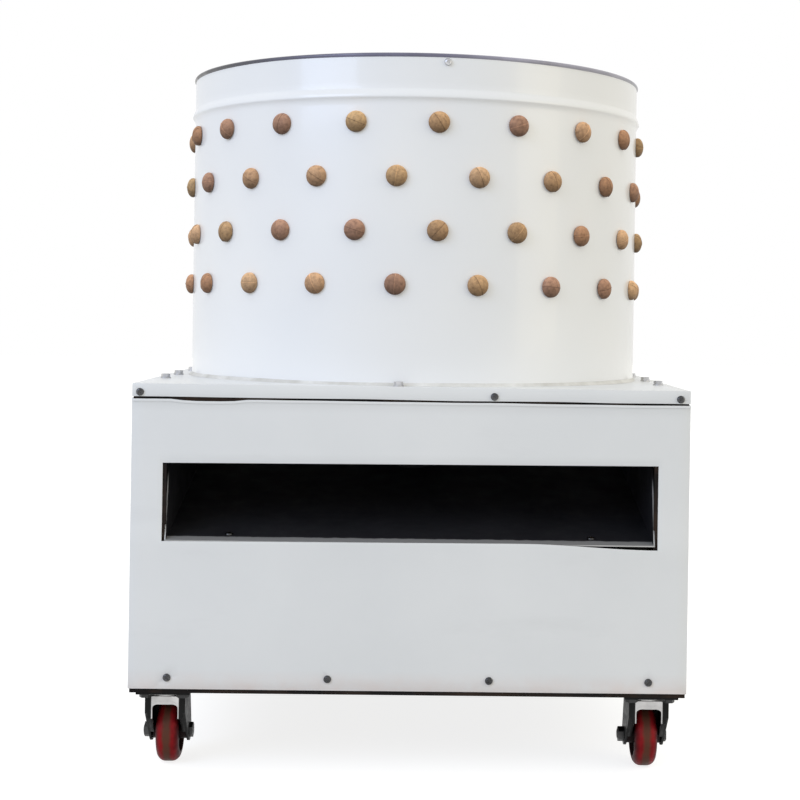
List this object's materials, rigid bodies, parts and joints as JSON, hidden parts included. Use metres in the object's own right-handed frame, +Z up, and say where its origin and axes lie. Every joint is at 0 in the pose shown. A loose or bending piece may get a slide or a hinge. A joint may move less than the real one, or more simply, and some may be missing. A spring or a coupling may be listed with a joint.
{
  "type": "poultry plucker",
  "caption": "Drum poultry plucker: a white drum lined with rubber fingers over a belt-driven finger turntable, on a square base with a front feather outlet and red swivel casters",
  "frame": {"origin": "on the floor, under the drum's axis, where the wheels stand", "axes": "+Z up along the drum's axis, front with the feather outlet towards -Y, +X to the right seen from the front"},
  "size_m": [0.666, 0.724, 0.8622],
  "materials": {
    "drum_white": "gloss white enamel",
    "rim_navy": "dark blue-grey gloss",
    "sealant": "white sealant",
    "finger_rubber": "matt natural rubber",
    "base_white": "satin white enamel",
    "bright_fasteners": "bright zinc",
    "frame_dark": "black primer",
    "zinc_fasteners": "dull zinc",
    "chute_black": "satin black",
    "cast_grey": "machined grey iron",
    "bearing_steel": "ground steel",
    "black_rubber": "matt black rubber",
    "motor_paint": "blue-grey paint",
    "winding_copper": "varnished copper",
    "dark_plastic": "moulded black",
    "disc_aluminium": "mill finish",
    "switch_grey": "moulded grey",
    "button_green": "gloss green",
    "button_red": "gloss red",
    "caster_zinc": "pressed zinc-plated steel",
    "axle_dark": "blackened steel",
    "wheel_red": "red polyurethane"
  },
  "bodies": {
    "base": {"drum": "drum_white", "rim_ring": "rim_navy", "drum_seal": "sealant", "drum_fingers_upper": "finger_rubber", "drum_fingers_lower": "finger_rubber", "top_cover": "base_white", "front_panel": "base_white", "rear_panel": "base_white", "left_panel": "base_white", "right_panel": "base_white", "rim_bolt": "bright_fasteners", "sheet_screws": "bright_fasteners", "cover_bolts": "bright_fasteners", "corner_posts": "frame_dark", "bottom_rails": "frame_dark", "upper_rails": "frame_dark", "bearing_beams": "frame_dark", "motor_bars": "frame_dark", "drum_braces": "frame_dark", "chute_supports": "frame_dark", "motor_plate": "frame_dark", "frame_bolts": "zinc_fasteners", "caster_bolts": "zinc_fasteners", "feather_chute": "chute_black", "spindle_housing": "cast_grey", "spindle_bearings": "bearing_steel", "motor_bearings": "bearing_steel", "shaft_seals": "black_rubber", "v_belt": "black_rubber", "motor_housing": "motor_paint", "motor_fan_cover": "motor_paint", "motor_stator": "winding_copper", "motor_terminal_box": "dark_plastic", "cable_gland": "dark_plastic", "switch_housing": "switch_grey", "caster_plates": "caster_zinc"},
    "turntable": {"turntable_disc": "disc_aluminium", "turntable_hub": "cast_grey", "turntable_fingers": "finger_rubber", "turntable_bolts": "bright_fasteners", "spindle_shaft": "bearing_steel", "large_pulley": "cast_grey", "bearing_inner_rings": "bearing_steel"},
    "motor_rotor": {"motor_shaft": "bearing_steel", "motor_pulley": "cast_grey", "motor_fan": "dark_plastic"},
    "start_button": {"start_button": "button_green"},
    "stop_button": {"stop_button": "button_red"},
    "swivel_front_left": {"caster_fork_front_left": "caster_zinc", "caster_axle_front_left": "axle_dark"},
    "wheel_front_left": {"caster_wheel_front_left": "wheel_red"},
    "swivel_front_right": {"caster_fork_front_right": "caster_zinc", "caster_axle_front_right": "axle_dark"},
    "wheel_front_right": {"caster_wheel_front_right": "wheel_red"},
    "swivel_rear_left": {"caster_fork_rear_left": "caster_zinc", "caster_axle_rear_left": "axle_dark"},
    "wheel_rear_left": {"caster_wheel_rear_left": "wheel_red"},
    "swivel_rear_right": {"caster_fork_rear_right": "caster_zinc", "caster_axle_rear_right": "axle_dark"},
    "wheel_rear_right": {"caster_wheel_rear_right": "wheel_red"}
  },
  "joints": [
    {"name": "turntable_spin", "type": "hinge", "parent": "base", "child": "turntable", "pos_m": [0, 0, 0.48], "axis": [0, 0, 1], "continuous": true},
    {"name": "motor_spin", "type": "hinge", "parent": "base", "child": "motor_rotor", "pos_m": [0, 0.225, 0.24], "axis": [0, 0, 1], "continuous": true},
    {"name": "start_press", "type": "slide", "parent": "base", "child": "start_button", "axis": [0, -1, 0], "range_m": [0, 0.004], "stiffness_N_per_m": 300, "springref_m": -0.002},
    {"name": "stop_press", "type": "slide", "parent": "base", "child": "stop_button", "axis": [0, -1, 0], "range_m": [0, 0.004], "stiffness_N_per_m": 300, "springref_m": -0.002},
    {"name": "swivel_front_left", "type": "hinge", "parent": "base", "child": "swivel_front_left", "pos_m": [-0.29, -0.28, 0.09], "axis": [0, 0, 1], "continuous": true},
    {"name": "roll_front_left", "type": "hinge", "parent": "swivel_front_left", "child": "wheel_front_left", "pos_m": [-0.29, -0.255, 0.0375], "axis": [1, 0, 0], "continuous": true},
    {"name": "swivel_front_right", "type": "hinge", "parent": "base", "child": "swivel_front_right", "pos_m": [0.29, -0.28, 0.09], "axis": [0, 0, 1], "continuous": true},
    {"name": "roll_front_right", "type": "hinge", "parent": "swivel_front_right", "child": "wheel_front_right", "pos_m": [0.29, -0.255, 0.0375], "axis": [1, 0, 0], "continuous": true},
    {"name": "swivel_rear_left", "type": "hinge", "parent": "base", "child": "swivel_rear_left", "pos_m": [-0.29, 0.28, 0.09], "axis": [0, 0, 1], "continuous": true},
    {"name": "roll_rear_left", "type": "hinge", "parent": "swivel_rear_left", "child": "wheel_rear_left", "pos_m": [-0.29, 0.255, 0.0375], "axis": [1, 0, 0], "continuous": true},
    {"name": "swivel_rear_right", "type": "hinge", "parent": "base", "child": "swivel_rear_right", "pos_m": [0.29, 0.28, 0.09], "axis": [0, 0, 1], "continuous": true},
    {"name": "roll_rear_right", "type": "hinge", "parent": "swivel_rear_right", "child": "wheel_rear_right", "pos_m": [0.29, 0.255, 0.0375], "axis": [1, 0, 0], "continuous": true}
  ],
  "couplings": [
    {"joint": "motor_spin", "follows": "turntable_spin", "ratio": 4}
  ]
}
